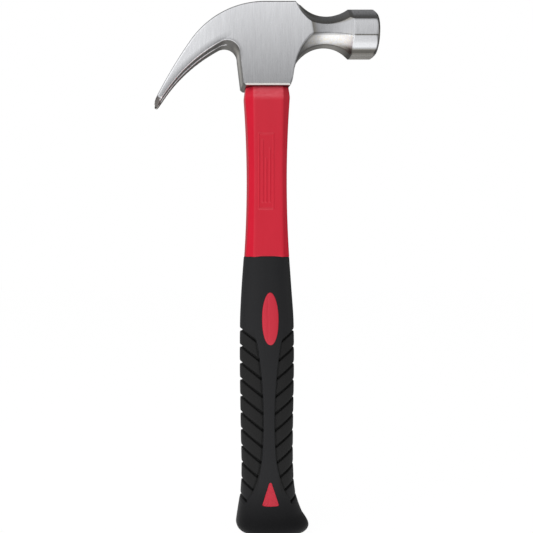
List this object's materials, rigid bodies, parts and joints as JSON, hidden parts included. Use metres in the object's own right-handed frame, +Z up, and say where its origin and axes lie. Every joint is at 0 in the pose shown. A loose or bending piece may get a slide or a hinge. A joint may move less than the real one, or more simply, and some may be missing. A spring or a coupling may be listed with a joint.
{
  "type": "claw hammer",
  "caption": "Curved-claw hammer with a forged steel head, bonded fibreglass-cored handle in a plastic jacket, and a moulded rubber grip with a flared butt.",
  "frame": {"origin": "centre of the flat end of the butt, on the handle's axis", "axes": "+Z up the handle to the crown of the head, +X towards the striking face, -X towards the claws, +Y and -Y out of the two cheeks"},
  "size_m": [0.1396, 0.0342, 0.3256],
  "materials": {
    "forged_steel": "ground and satin polished, fine brush lines running down the cheeks",
    "fibreglass": "pultruded glass rod, cut end showing fibre ends",
    "resin": "cast resin with a slightly sunk, glossy surface",
    "jacket_plastic": "semi-gloss moulded plastic",
    "grip_rubber": "matte moulded rubber with smoother band",
    "inlay_rubber": "satin soft plastic"
  },
  "bodies": {
    "root": {"head": "forged_steel", "fibreglass_core": "fibreglass", "eye_resin": "resin", "handle_jacket": "jacket_plastic", "grip": "grip_rubber", "front_oval_inlay": "inlay_rubber", "back_oval_inlay": "inlay_rubber", "front_triangle_inlay": "inlay_rubber", "back_triangle_inlay": "inlay_rubber"}
  },
  "joints": []
}
